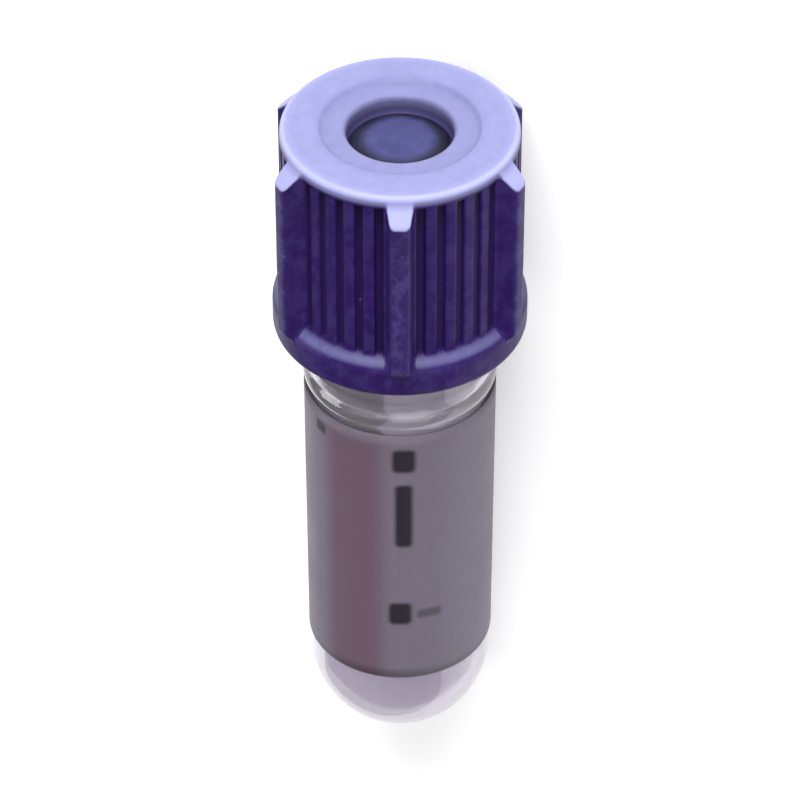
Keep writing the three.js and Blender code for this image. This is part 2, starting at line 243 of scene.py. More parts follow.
class BloodTubeStudio(bpy.types.PropertyGroup):
    """The bench, lamps and camera"""

    tilt: angle("View tilt", "From the tube's axis to the camera", 50)
    turn: angle("View turn", "Round the axis, from straight up towards the front", 30)
    away: length("Distance", "From the tube to the camera", 0.25)
    lens: FloatProperty(name="Lens", description="Focal length", default=194.0, unit="CAMERA")
    bench: colour("Bench", "Pale, nearly white", (0.86, 0.86, 0.87))


# ---- Surfaces ----


def rounded(corners, steps=8):
    """A profile through corners given as (across, up, round). At a corner C with a round the line
    turns on the curve (1-t)^2 S + 2t(1-t) C + t^2 E, from S, that far before it, to E, that far
    after it."""
    spots = np.array([corner[:2] for corner in corners], float)
    t = np.linspace(0, 1, steps + 1)[:, None]
    parts = []
    for index, corner in enumerate(corners):
        here = spots[index]
        if len(corner) < 3:
            parts.append(here[None])
            continue
        before = unit(spots[index - 1] - here) * corner[2] + here
        after = unit(spots[(index + 1) % len(spots)] - here) * corner[2] + here
        parts.append((1 - t) ** 2 * before + 2 * t * (1 - t) * here + t**2 * after)
    return np.concatenate(parts)


def refined(profile, longest):
    """The same profile with its longer segments split evenly, no part longer than `longest`."""
    steps = np.linalg.norm(np.diff(profile, axis=0), axis=1)
    parts = np.maximum(1, np.ceil(steps / longest)).astype(int)
    start = np.repeat(np.arange(len(parts)), parts)
    first = np.repeat(np.cumsum(parts) - parts, parts)
    share = (np.arange(parts.sum()) - first) / parts[start]
    points = profile[start] + share[:, None] * (profile[start + 1] - profile[start])
    return np.concatenate([points, profile[-1:]])


def arc(centre_up, across, rise, start, end, steps):
    """A quarter of an ellipse about a centre on the axis: across cos(a), centre + rise sin(a)."""
    a = np.linspace(start, end, steps + 1)
    return np.stack([across * np.cos(a), centre_up + rise * np.sin(a)], axis=1)


def grid_faces(columns, rows, round_columns=True, round_rows=False):
    """Quads between neighbouring lines of a grid whose corners are numbered column by column."""
    c = np.arange(columns if round_columns else columns - 1)
    r = np.arange(rows if round_rows else rows - 1)
    c, r = (part.ravel() for part in np.meshgrid(c, r, indexing="ij"))
    next_c, next_r = (c + 1) % columns, (r + 1) % rows
    return np.stack(
        [c * rows + r, next_c * rows + r, next_c * rows + next_r, c * rows + next_r], axis=1
    )


def round_about(away, up, turn):
    """Points at distances `away` from the axis and heights `up`, turned by `turn`: away cos(turn),
    away sin(turn), up. All three are (columns, rows) or broadcast to it."""
    away, up, turn = np.broadcast_arrays(away, up, turn)
    return np.stack([away * np.cos(turn), away * np.sin(turn), up], axis=-1)


def make_piece(name, points, faces, body, node, material, masks, uv=None):
    """Puts a surface into a mesh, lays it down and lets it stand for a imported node. `masks` are
    values at its corners; `uv` has one pair for each corner of each face."""
    mesh = bpy.data.meshes.new(name)
    mesh.from_pydata(place(points.reshape(-1, 3)).tolist(), [], faces)
    mesh.update()
    mesh.shade_smooth()
    for title, values in masks.items():
        layer = mesh.attributes.new(title, "FLOAT", "POINT")
        layer.data.foreach_set("value", np.asarray(values, np.float32).ravel())
    if uv is not None:
        layer = mesh.uv_layers.new(name="Label")
        layer.data.foreach_set("uv", np.asarray(uv, np.float32).ravel())
    if mesh.validate():
        raise RuntimeError(f"{name} has faulty faces")
    mesh.materials.append(material)
    piece = bpy.data.objects.new(name, mesh)
    bpy.context.scene.collection.objects.link(piece)
    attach(piece, body)
    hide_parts(node)


def turned(profile, columns):
    """A profile whose ends lie on the axis, turned about it, with a fan of triangles at each
    pole. Returns its corners and its faces."""
    turn = np.linspace(0, 2 * math.pi, columns, endpoint=False)[:, None]
    inner = profile[1:-1]
    points = round_about(inner[None, :, 0], inner[None, :, 1], turn).reshape(-1, 3)
    rows = len(inner)
    poles = np.array([[0, 0, profile[0, 1]], [0, 0, profile[-1, 1]]])
    first, last = len(points), len(points) + 1
    c = np.arange(columns)
    n = (c + 1) % columns
    fans = [
        np.stack([np.full(columns, first), n * rows, c * rows], axis=1),
        np.stack([c * rows + rows - 1, n * rows + rows - 1, np.full(columns, last)], axis=1),
    ]
    faces = grid_faces(columns, rows).tolist() + np.concatenate(fans).tolist()
    return np.concatenate([points, poles]), faces


def smooth_max(a, b, blend):
    """The larger of two values, rounded where they meet: max + (blend - |a - b|)^2 / 4 blend."""
    meet = np.maximum(blend - np.abs(a - b), 0)
    return np.maximum(a, b) + meet**2 / (4 * blend)


def smooth_min(a, b, blend):
    return -smooth_max(-a, -b, blend)


def ramp(values, start, end):
    """0 at start, 1 at end, and t^2 (3 - 2t) between."""
    t = np.clip((values - start) / (end - start), 0, 1)
    return t * t * (3 - 2 * t)


def near(values, middle, full, gone):
    """1 within `full` of a middle, and falling as a ramp does to 0 at `gone` from it."""
    return 1 - ramp(np.abs(values - middle), full, gone)


# ---- Shader groups ----


def feed(tree, socket, value):
    """Gives a node's input a number, a colour of three numbers or another node's output."""
    if isinstance(value, bpy.types.NodeSocket):
        tree.links.new(value, socket)
    elif isinstance(value, (int, float)):
        socket.default_value = value
    else:
        socket.default_value = (*value, 1.0)


def add_node(tree, kind, *values, named=None, **settings):
    """A node with its settings made, its first inputs fed in order and others by their names."""
    node = tree.nodes.new(kind)
    for name, setting in settings.items():
        setattr(node, name, setting)
    for socket, value in zip(node.inputs, values):
        feed(tree, socket, value)
    for title, value in (named or {}).items():
        feed(tree, node.inputs[title], value)
    return node


def maths(tree, operation, *values, clamp=False):
    node = add_node(tree, "ShaderNodeMath", *values, operation=operation, use_clamp=clamp)
    return node.outputs[0]


def blend_colours(tree, mask, first, second):
    """The first colour where the mask is 0 and the second where it is 1."""
    node = add_node(tree, "ShaderNodeMix", mask, data_type="RGBA")
    for index, value in ((6, first), (7, second)):  # its inputs A and B for colours
        feed(tree, node.inputs[index], value)
    return node.outputs[2]


def shaded(colour, share):
    """A colour made darker, or lighter, by a share of itself."""
    return [part * share for part in colour]


def noise(tree, vector, scale, detail=4.0, rough=0.6, distortion=0.0):
    named = {"Scale": scale, "Detail": detail, "Roughness": rough, "Distortion": distortion}
    return add_node(tree, "ShaderNodeTexNoise", vector, named=named).outputs[0]


def remap(tree, value, low, high, to_low=0.0, to_high=1.0):
    """A value stretched smoothly from one range onto another and held inside it."""
    ranges = (low, high, to_low, to_high)
    node = add_node(tree, "ShaderNodeMapRange", value, *ranges, interpolation_type="SMOOTHSTEP")
    return node.outputs[0]


def new_group(name, numbers, outputs):
    """A shader node group that takes a Vector and named numbers, given with their defaults, and
    puts out named values. Returns its tree, and its input and output nodes' sockets."""
    tree = bpy.data.node_groups.new(name, "ShaderNodeTree")
    new_socket = tree.interface.new_socket
    new_socket(name="Vector", in_out="INPUT", socket_type="NodeSocketVector")
    for title, default in numbers.items():
        socket = new_socket(name=title, in_out="INPUT", socket_type="NodeSocketFloat")
        socket.default_value = default
    for title in outputs:
        new_socket(name=title, in_out="OUTPUT", socket_type="NodeSocketFloat")
    start, end = tree.nodes.new("NodeGroupInput"), tree.nodes.new("NodeGroupOutput")
    return tree, start.outputs, end.inputs


def moulded_grain():
    """Fine satin texture of a moulding: a height from two sizes of noise, and how much rougher or
    smoother each spot is."""
    numbers = {"Scale": 1.0, "Roughness": 0.4, "Swing": 0.1}
    tree, start, end = new_group("Moulded grain", numbers, ["Height", "Roughness"])
    named = {"Scale": start["Scale"]}
    node = add_node(tree, "ShaderNodeVectorMath", start["Vector"], named=named, operation="SCALE")
    fine = noise(tree, node.outputs[0], 9000.0, detail=3.0)
    broad = noise(tree, node.outputs[0], 600.0, detail=3.0, rough=0.55)
    height = maths(tree, "MULTIPLY_ADD", broad, 0.5, maths(tree, "MULTIPLY", fine, 0.5))
    tree.links.new(height, end["Height"])
    middle, smoothest = 0.75, 0.02  # of broad + fine / 2, and the least roughness given out
    swing = maths(tree, "SUBTRACT", maths(tree, "MULTIPLY_ADD", fine, 0.5, broad), middle)
    rough = maths(tree, "MULTIPLY_ADD", swing, start["Swing"], start["Roughness"])
    tree.links.new(maths(tree, "MAXIMUM", rough, smoothest), end["Roughness"])


def handling_wear():
    """Scuffs and dust: where an edge mask meets broken noise, and a thin scatter of specks."""
    numbers = {"Edge": 0.0, "Amount": 0.5}
    tree, start, end = new_group("Handling wear", numbers, ["Scuff", "Dust"])
    broken = noise(tree, start["Vector"], 900.0, rough=0.65, distortion=0.4)
    scuff = maths(tree, "MULTIPLY", remap(tree, broken, 0.42, 0.62), start["Edge"])
    scuff = maths(tree, "MULTIPLY", scuff, start["Amount"], clamp=True)
    tree.links.new(scuff, end["Scuff"])
    cells = add_node(tree, "ShaderNodeTexVoronoi", start["Vector"], named={"Scale": 1500.0})
    specks = remap(tree, cells.outputs["Distance"], 0.16, 0.07)
    some = remap(tree, noise(tree, start["Vector"], 420.0, detail=2.0, rough=0.5), 0.55, 0.72)
    dust = maths(tree, "MULTIPLY", maths(tree, "MULTIPLY", specks, some), start["Amount"])
    tree.links.new(dust, end["Dust"])


def printed_bar():
    """A filled bar with rounded corners on a flat pattern. With r the rounding, w and h the half
    sizes and x and y the distances from its middle, a spot is r - |(max(x - w + r, 0),
    max(y - h + r, 0))| inside its edge, over which the mask falls from 1 to 0."""
    numbers = {
        "Across": 0.0, "Along": 0.0, "Half width": 1.0, "Half length": 1.0, "Round": 0.2,
        "Softness": 0.05,
    }
    tree, start, end = new_group("Printed bar", numbers, ["Mask"])
    split = add_node(tree, "ShaderNodeSeparateXYZ", start["Vector"])
    squares = []
    for index, (middle, half) in enumerate((("Across", "Half width"), ("Along", "Half length"))):
        off = maths(tree, "SUBTRACT", split.outputs[index], start[middle])
        straight = maths(tree, "SUBTRACT", start[half], start["Round"])
        past = maths(tree, "SUBTRACT", maths(tree, "ABSOLUTE", off), straight)
        past = maths(tree, "MAXIMUM", past, 0.0)
        squares.append(maths(tree, "MULTIPLY", past, past))
    away = maths(tree, "SQRT", maths(tree, "ADD", *squares))
    inside = maths(tree, "SUBTRACT", start["Round"], away)
    edge = maths(tree, "DIVIDE", inside, start["Softness"])
    tree.links.new(maths(tree, "ADD", edge, 0.5, clamp=True), end["Mask"])


def group_node(tree, group, **values):
    """A copy of a group in a material, its inputs named as the group names them."""
    named = {title.replace("_", " ").capitalize(): value for title, value in values.items()}
    return add_node(tree, "ShaderNodeGroup", named=named, node_tree=bpy.data.node_groups[group])


def node_like(tree, kind):
    """The one node of a kind that a new material or world already has."""
    return next(node for node in tree.nodes if node.type == kind)


def new_material(name, settings):
    """A material with only its Principled shader, whose plain inputs are set, and its output.
    Returns the material, its tree, the shader and its Object coordinates."""
    material = bpy.data.materials.new(name)
    material.use_nodes = True
    shader = node_like(material.node_tree, "BSDF_PRINCIPLED")
    for title, value in settings.items():
        shader.inputs[title].default_value = value
    where = add_node(material.node_tree, "ShaderNodeTexCoord").outputs["Object"]
    return material, material.node_tree, shader, where


def mask_of(tree, name):
    return add_node(tree, "ShaderNodeAttribute", attribute_name=name).outputs["Fac"]


def dress(tree, shader, tone, where, scale, roughness, swing, bump=None):
    """Gives a shader its colour and the moulded grain's roughness, and the grain's bump where that
    is given as a strength and a distance."""
    tree.links.new(tone, shader.inputs["Base Color"])
    grain = group_node(
        tree, "Moulded grain", vector=where, scale=scale, roughness=roughness, swing=swing
    ).outputs
    tree.links.new(grain["Roughness"], shader.inputs["Roughness"])
    if bump:
        node = add_node(tree, "ShaderNodeBump", *bump, named={"Height": grain["Height"]})
        tree.links.new(node.outputs[0], shader.inputs["Normal"])


def worn(tree, where, tone, edge, amount, scuffed, dusty):
    """A tone with handling wear over it, in the colours of the scuffs and of the dust."""
    wear = group_node(tree, "Handling wear", vector=where, edge=edge, amount=amount).outputs
    tone = blend_colours(tree, wear["Scuff"], tone, scuffed)
    return blend_colours(tree, wear["Dust"], tone, dusty)


# ---- Materials ----


def clear_plastic(sizes):
    """Clear moulded plastic, a little hazy inside, with a painted highlight on the low ring's two
    edges.
    """
    material, tree, shader, where = new_material("Clear tube plastic", {
        "Transmission Weight": 0.85, "IOR": 1.49, "Coat Weight": 0.7, "Coat Roughness": 0.12,
    })
    # Painted highlight: the tint is made paler on the low ring's two edges.
    tone = blend_colours(tree, mask_of(tree, "bead"), sizes.tint, [c**0.3 for c in sizes.tint])
    haze = remap(tree, noise(tree, where, 260.0), 0.35, 0.75)
    inside = maths(tree, "MULTIPLY", mask_of(tree, "bore"), haze)
    roughness = maths(tree, "MULTIPLY_ADD", inside, 0.05, 0.1)
    dress(tree, shader, tone, where, scale=0.5, roughness=roughness, swing=0.05)
    return material


# Colour and strength, then BAR_SIZES in millimetres on the flat label, from its lower left corner.
LABEL_PRINT = [
    ("band", 1.0, 13.1, 9.0, 1.7, 9.4, 0.5, 1.2),
    ("ink", 0.95, 16.1, 17.1, 0.66, 0.85, 0.35, 0.3),
    ("ink", 0.95, 16.1, 12.9, 0.5, 2.4, 0.35, 0.3),
    ("ink", 0.95, 15.9, 5.2, 0.66, 0.85, 0.35, 0.3),
    ("ink", 0.5, 17.6, 5.1, 0.75, 0.32, 0.25, 0.3),
    ("ink", 0.8, 10.7, 17.8, 0.45, 0.4, 0.25, 0.3),
    ("ink", 0.4, 8.0, 13.6, 0.25, 2.2, 0.2, 0.3),
]
BAR_SIZES = ("across", "along", "half_width", "half_length", "round", "softness")


def label_paper(sizes):
    """Coated paper with a fine fibre in it, and the printed bars on its outer side."""
    material, tree, shader, where = new_material("Coated label paper", {"Specular IOR Level": 0.3})
    flat = add_node(tree, "ShaderNodeUVMap", uv_map="Label").outputs[0]
    fibre = remap(tree, noise(tree, where, 2600.0), 0.3, 0.7)
    paper = blend_colours(tree, fibre, sizes.paper, shaded(sizes.paper, 0.93))
    outside = mask_of(tree, "outside")
    for print_colour, strength, *bar in LABEL_PRINT:
        node = group_node(tree, "Printed bar", vector=flat, **dict(zip(BAR_SIZES, bar)))
        mask = maths(tree, "MULTIPLY", maths(tree, "MULTIPLY", node.outputs[0], outside), strength)
        paper = blend_colours(tree, mask, paper, getattr(sizes, print_colour))
    dress(tree, shader, paper, where, scale=0.35, roughness=0.46, swing=0.2, bump=(0.25, 0.04 * MM))
    return material


def stopper_rubber(sizes):
    """Cloudy dark rubber, with painted shade in the hollow round its crown."""
    material, tree, shader, where = new_material(
        "Stopper rubber", {"IOR": 1.45, "Specular IOR Level": 0.28}
    )
    cloud = remap(tree, noise(tree, where, 500.0), 0.35, 0.7)
    paler = [c * 1.25 + 0.01 for c in sizes.rubber]
    tone = blend_colours(tree, cloud, sizes.rubber, paler)
    # Painted shade: much darker towards the crown's edge, in the hollow round it.
    tone = blend_colours(tree, mask_of(tree, "edge"), tone, shaded(sizes.rubber, 0.12))
    scuffed, dusty = (0.16, 0.165, 0.36), (0.3, 0.3, 0.45)
    tone = worn(tree, where, tone, edge=0.2, amount=0.2, scuffed=scuffed, dusty=dusty)
    dress(tree, shader, tone, where, scale=0.6, roughness=0.62, swing=0.15, bump=(0.35, 0.05 * MM))
    return material


def cap_plastic(sizes):
    """Deep violet plastic, with painted shade in its grooves and painted light on top and along
    its high edges.
    """
    material, tree, shader, where = new_material(
        "Violet cap plastic", {"IOR": 1.42, "Specular IOR Level": 0.2}
    )
    cloud = remap(tree, noise(tree, where, 350.0), 0.3, 0.75)
    side = blend_colours(tree, cloud, sizes.side, shaded(sizes.side, 1.18))
    # Painted shade in the grooves between the ribs.
    side = blend_colours(tree, mask_of(tree, "groove"), side, shaded(sizes.side, 0.3))
    # Painted light: the paler top colour, broken up a little by noise.
    top = blend_colours(tree, cloud, sizes.top, shaded(sizes.top, 0.93))
    broken = remap(tree, noise(tree, where, 1500.0, detail=3.0), 0.2, 0.8, to_low=0.9)
    painted_light = maths(tree, "MULTIPLY", mask_of(tree, "painted_light"), broken)
    tone = blend_colours(tree, painted_light, side, top)
    # Painted highlight on the rim's edge and the wings' shoulders.
    tone = blend_colours(tree, mask_of(tree, "rim"), tone, sizes.painted_rim_highlight)
    edge, scuffed, dusty = mask_of(tree, "edge"), (0.25, 0.22, 0.55), (0.5, 0.5, 0.7)
    tone = worn(tree, where, tone, edge=edge, amount=0.12, scuffed=scuffed, dusty=dusty)
    dress(tree, shader, tone, where, scale=0.8, roughness=0.42, swing=0.14, bump=(0.25, 0.04 * MM))
    return material


def bench_top(sizes):
    """Pale bench: it takes the shadow, and seen by the camera, in gloss or through the clear
    plastic it is lifted towards white. From underneath it can be seen through."""
    material, tree, shader, where = new_material("Pale bench", {
        "Base Color": (*sizes.bench, 1), "Roughness": 0.9, "Specular IOR Level": 0.0,
    })
    path = add_node(tree, "ShaderNodeLightPath").outputs
    seen = maths(tree, "ADD", path["Is Camera Ray"], path["Is Glossy Ray"])
    seen = maths(tree, "ADD", seen, path["Is Transmission Ray"], clamp=True)
    away = add_node(tree, "ShaderNodeVectorMath", where, operation="LENGTH")
    close, far = 0.1, 0.6  # metres from the tube, between which the lift grows
    lift = remap(tree, away.outputs["Value"], close, far, to_low=0.36, to_high=0.85)
    named = {"Strength": maths(tree, "MULTIPLY", seen, lift)}
    glow = add_node(tree, "ShaderNodeEmission", named=named)
    lifted = add_node(tree, "ShaderNodeAddShader", shader.outputs[0], glow.outputs[0]).outputs[0]
    behind = add_node(tree, "ShaderNodeNewGeometry").outputs["Backfacing"]
    from_below = maths(tree, "MULTIPLY", behind, path["Is Camera Ray"])
    clear = add_node(tree, "ShaderNodeBsdfTransparent").outputs[0]
    mix = add_node(tree, "ShaderNodeMixShader", from_below, lifted, clear)
    tree.links.new(mix.outputs[0], node_like(tree, "OUTPUT_MATERIAL").inputs["Surface"])
    return material


# ---- The pieces ----


def tube_radius(vessel, height):
    """Outside radius of the drafted tube: it widens evenly from the round bottom to the mouth."""
    bottom = vessel.radius - vessel.draft
    share = (height - bottom) / (vessel.tall - bottom)
    return bottom + vessel.draft * share


SOFT_EDGE = 0.1 * MM  # rounding of the edges that have no size of their own
FINE_EDGE = 0.08 * MM  # the same on the cap's thin steps


class MakeVessel(bpy.types.Operator):
    """The clear tube: a quarter circle, a drafted wall with a low ring, a rounded mouth, and the
    same again inside, turned about the axis"""

    bl_idname = "blood_tube.make_vessel"
    bl_label = "Clear tube"

    def execute(self, context):
        sizes, cap = context.scene.blood_tube_vessel, context.scene.blood_tube_cap
        arc_steps, columns, longest = 32, 256, 0.8 * MM
        bottom = sizes.radius - sizes.draft
        bore = sizes.radius - sizes.wall
        bead_top = cap.foot - sizes.bead_drop
        bead_foot = bead_top - sizes.bead_width
        third = sizes.bead_width / 3
        foot_out, top_out = tube_radius(sizes, bead_foot), tube_radius(sizes, bead_top)
        outside = rounded([
            (foot_out, bead_foot, third / 2),
            (foot_out + sizes.bead_rise, bead_foot + third, third / 2),
            (top_out + sizes.bead_rise, bead_top - third, third / 2),
            (top_out, bead_top, third / 2),
            (sizes.radius, sizes.tall, sizes.mouth_round),
            (bore + sizes.lead_in, sizes.tall, SOFT_EDGE),
            (bore, sizes.tall - sizes.lead_in, SOFT_EDGE),
            (bottom - sizes.wall, bottom),
        ])[:-1]
        profile = np.concatenate([
            arc(bottom, bottom, bottom, -math.pi / 2, 0, arc_steps),
            outside,
            arc(bottom, bottom - sizes.wall, bottom - sizes.wall, 0, -math.pi / 2, arc_steps),
        ])
        points, faces = turned(refined(profile, longest), columns)
        away, up = np.hypot(points[:, 0], points[:, 1]), points[:, 2]
        ball = np.sqrt(np.maximum(bottom**2 - (bottom - up) ** 2, 0))
        outer = np.where(up > bottom, tube_radius(sizes, up), ball)
        inner = away < outer - sizes.wall * 0.6  # nearer the bore than the outside
        # Where the highlight is painted: the outside of the low ring's two edges.
        edges = np.array([bead_top - third / 2, bead_foot + third / 2])
        bead = near(up[:, None], edges, 0.12 * MM, 0.3 * MM).max(axis=1)
        masks = {"bore": inner, "bead": bead * ~inner}
        material = clear_plastic(sizes)
        make_piece(
            "clear_tube", points, faces, "tube_body", "tube", material, masks
        )
        return {"FINISHED"}


class MakeLabel(bpy.types.Operator):
    """The label: a thin strip of paper with rounded corners and edges, carried round the tube"""

    bl_idname = "blood_tube.make_label"
    bl_label = "Label"

    def execute(self, context):
        sizes, vessel = context.scene.blood_tube_label, context.scene.blood_tube_vessel
        side_rows, columns, corner_columns = 25, 181, 9
        radius = tube_radius(vessel, (sizes.foot + sizes.head) / 2)
        reach = sizes.wrap / 2 * radius
        corner = sizes.corner
        near_end = corner * (1 - np.cos(np.linspace(0, math.pi / 2, corner_columns)))
        along = np.concatenate([
            -reach + near_end,
            np.linspace(-reach + corner, reach - corner, columns)[1:-1],
            reach - near_end[::-1],
        ])
        into = np.minimum(reach - np.abs(along), corner)
        cut = corner - np.sqrt(np.maximum(corner**2 - (corner - into) ** 2, 0))
        low, high = sizes.foot + cut, sizes.head - cut
        # One run round the paper's section: up its outer side, over, down its inner side and under.
        share, flat = np.linspace(0, 1, side_rows), np.zeros(side_rows)
        rise = np.concatenate([share, [1, 1], share[::-1], [0, 0]])
        out = np.concatenate([flat + 1, [0.7, 0.3], flat, [0.3, 0.7]])
        past = np.concatenate([flat, [0.7, 0.7], flat, [-0.7, -0.7]]) * (sizes.thick * 0.3)
        up = low[:, None] + rise * (high - low)[:, None] + past
        up = np.clip(up, sizes.foot, sizes.head)
        away = tube_radius(vessel, up) + sizes.glue + out * sizes.thick
        points = round_about(away, up, (math.pi + along / radius)[:, None])
        columns, rows = away.shape
        quads = grid_faces(columns, rows, round_columns=False, round_rows=True)
        ends = [list(range(rows))[::-1], list(range((columns - 1) * rows, columns * rows))]
        faces = quads.tolist() + ends
        across, tall = (along[:, None] + reach) / MM, (up - sizes.foot) / MM
        spread = np.stack(np.broadcast_arrays(across, tall), axis=-1).reshape(-1, 2)
        uv = np.concatenate([spread[quads.ravel()], spread[ends[0]], spread[ends[1]]])
        masks = {"outside": np.broadcast_to(out > 0.5, away.shape)}
        material = label_paper(sizes)
        make_piece(
            "wrap_label", points, faces, "tube_body", "label", material, masks, uv
        )
        return {"FINISHED"}


class MakeStopper(bpy.types.Operator):
    """The stopper: a flange over the mouth, a plug with two sealing rings and a hollow underneath,
    and a low crown, turned about the axis"""

    bl_idname = "blood_tube.make_stopper"
    bl_label = "Stopper"

    def execute(self, context):
        sizes, vessel = context.scene.blood_tube_stopper, context.scene.blood_tube_vessel
        dome_steps, crown_steps, columns, longest = 12, 20, 192, 0.6 * MM
        dome = 0.8 * MM  # the rise of the hollow's rounded end
        flange_round, nose, nose_round = 0.3 * MM, 0.5 * MM, 0.3 * MM
        ring_half, crest_half, ring_round = 0.75 * MM, 0.3 * MM, 0.15 * MM
        low = vessel.tall + sizes.gap
        high = low + sizes.flange
        plug = vessel.radius - vessel.wall - sizes.plug_clearance
        waist = plug - sizes.waist
        recess_top = high - sizes.membrane
        crown = high + sizes.crown_step
        rings = []
        for middle in (sizes.foot + 1.8 * MM, sizes.foot + 3.9 * MM):
            rings += [
                (waist, middle - ring_half, ring_round),
                (plug, middle - crest_half, ring_round),
                (plug, middle + crest_half, ring_round),
                (waist, middle + ring_half, ring_round),
            ]
        profile = np.concatenate([
            arc(recess_top - dome, sizes.recess, dome, math.pi / 2, 0, dome_steps),
            rounded([
                (sizes.recess, sizes.foot, 0.15 * MM),
                (plug - nose, sizes.foot, nose_round),
                *rings,
                (waist, low, SOFT_EDGE),
                (sizes.radius, low, flange_round),
                (sizes.radius, high, flange_round),
                (sizes.crown_radius, high, SOFT_EDGE),
                (sizes.crown_radius, crown),
            ])[:-1],
            arc(crown, sizes.crown_radius, sizes.crown_head - crown, 0, math.pi / 2, crown_steps),
        ])
        points, faces = turned(refined(profile, longest), columns)
        away = np.hypot(points[:, 0], points[:, 1])
        # Painted shade, darkening towards the crown's edge above the flange.
        edge = ramp(away, sizes.crown_radius * 0.55, sizes.crown_radius * 0.86)
        masks = {"edge": (points[:, 2] > high) * edge}
        material = stopper_rubber(sizes)
        make_piece(
            "stopper_rubber", points, faces, "closure", "stopper", material, masks
        )
        return {"FINISHED"}


class MakeCap(bpy.types.Operator):
    """The cap: one closed profile, out over the top, down the barrel and collar and up inside the
    skirt, turned about the axis, with ribs and wings raised on the barrel"""

    bl_idname = "blood_tube.make_cap"
    bl_label = "Cap"

    def outline(self, cap):
        """Angles of the grid's columns, and how far out a wing and a rib reach at each. A wing is
        a rounded fin flaring into a wide rib; at a share t of the way up its flank a rib has
        risen t^2 (3 - 2t) of its height."""
        closest = 0.0008  # angle under which two columns become one
        neck_round, tip_round = 0.4 * MM, 0.35 * MM
        sector = 2 * math.pi / cap.wings
        pitch = sector / (cap.ribs + cap.foot_ribs)
        middles = np.append(0, pitch * (cap.foot_ribs / 2 + 0.5 + np.arange(cap.ribs)))
        rooms = np.append(cap.foot_ribs, np.ones(cap.ribs)) * pitch / 2
        roots = rooms - cap.groove / 2 / cap.barrel
        crests = roots - cap.rib_flank / cap.barrel
        # Shares of the way from a rib's root: to the groove's middle at -1, to its crest at 1.
        shares = np.array([-1.0, -0.4, 0.0, 0.2, 0.4, 0.6, 0.8, 1.0])
        columns = []
        for middle, room, root, crest in zip(middles, rooms, roots, crests):
            reach = np.where(shares > 0, crest - root, root - room)
            half = np.concatenate([crest * np.array([0.0, 0.6]), root + reach * shares])
            columns += [middle + half, middle - half]
        foot = (cap.barrel * roots[0] - cap.rib_flank, cap.barrel + cap.rib_rise / 2)
        neck_out = cap.barrel + cap.rib_rise + cap.wing_neck
        neck = (cap.wing_neck_width / 2, neck_out, neck_round)
        tip = (cap.wing_tip_width / 2, cap.wing_tip, tip_round)
        half_fin = rounded([foot, neck, tip, (0, cap.wing_tip)], steps=7)[::-1]
        fin_turn = np.arctan2(half_fin[:, 0], half_fin[:, 1])
        fin_out = np.hypot(*half_fin.T)
        columns += [fin_turn, -fin_turn]
        columns = np.sort(np.concatenate(columns) % sector)
        columns = columns[np.diff(columns, append=columns[0] + sector) > closest]
        away = np.abs((columns[:, None] - middles + sector / 2) % sector - sector / 2)
        rib_out = cap.barrel + cap.rib_rise * ramp(away, roots, crests).max(axis=1)
        wing_out = np.interp(away[:, 0], fin_turn, fin_out, right=0)
        turn = (sector / 2 + columns + np.arange(cap.wings)[:, None] * sector).ravel()
        return turn, np.tile(wing_out, cap.wings), np.tile(rib_out, cap.wings)

    def profile(self, cap):
        """The closed run of (out, up), from the ceiling's edge down the inside, up the outside and
        in to the needle hole, and which of its points lie on the outside and inside the skirt."""
        ceiling = cap.head - cap.top_wall
        snap = ceiling - 2.4 * MM  # the snap ring's upper edge
        snap_foot, snap_end = snap - 0.8 * MM, snap - 1.1 * MM
        lead_tall, lead_wide, foot_flat = 0.5 * MM, 0.4 * MM, 0.6 * MM
        inside = refined(rounded([
            (cap.hole, ceiling, FINE_EDGE),
            (cap.seat, ceiling, SOFT_EDGE),
            (cap.seat, snap, FINE_EDGE),
            (cap.snap, snap, FINE_EDGE),
            (cap.snap, snap_foot, SOFT_EDGE),
            (cap.skirt, snap_end, SOFT_EDGE),
            (cap.skirt, cap.foot + lead_tall, 0.15 * MM),
            (cap.skirt + lead_wide, cap.foot, 0.12 * MM),
            (cap.flange - foot_flat, cap.foot),
        ], steps=3), 1.6 * MM)
        flange_top = cap.foot + cap.flange_tall
        collar = refined(rounded([
            (cap.flange - foot_flat, cap.foot),
            (cap.flange, cap.foot, cap.flange_round),
            (cap.flange, flange_top, cap.flange_round),
            (cap.barrel, flange_top + cap.ledge),
        ], steps=7), 0.25 * MM)[1:-1]
        # The barrel, with its rows closest where the wings flare and slope.
        low, high = flange_top + cap.ledge, cap.head - cap.rim_depth - 0.15 * MM
        flared, sloping = low + 0.8 * MM, cap.head - 2.0 * MM
        heights = np.concatenate([
            np.linspace(low, flared, 7),
            np.linspace(flared, sloping, 9)[1:],
            np.linspace(sloping, high, 15)[1:],
        ])
        barrel = np.stack([np.full(len(heights), cap.barrel), heights], axis=1)
        floor = cap.head - cap.dish_depth
        over = refined(rounded([
            (cap.barrel, high),
            (cap.rim, cap.head - cap.rim_depth, SOFT_EDGE),
            (cap.rim, cap.head, cap.rim_round),
            (cap.dish + cap.dish_depth / 2, cap.head, FINE_EDGE),
            (cap.dish - cap.dish_depth / 2, floor, FINE_EDGE),
            (cap.hole + cap.lip, floor),
            (cap.hole, floor - cap.lip),
            (cap.hole, ceiling + FINE_EDGE),
        ], steps=6), 0.5 * MM)[1:-1]
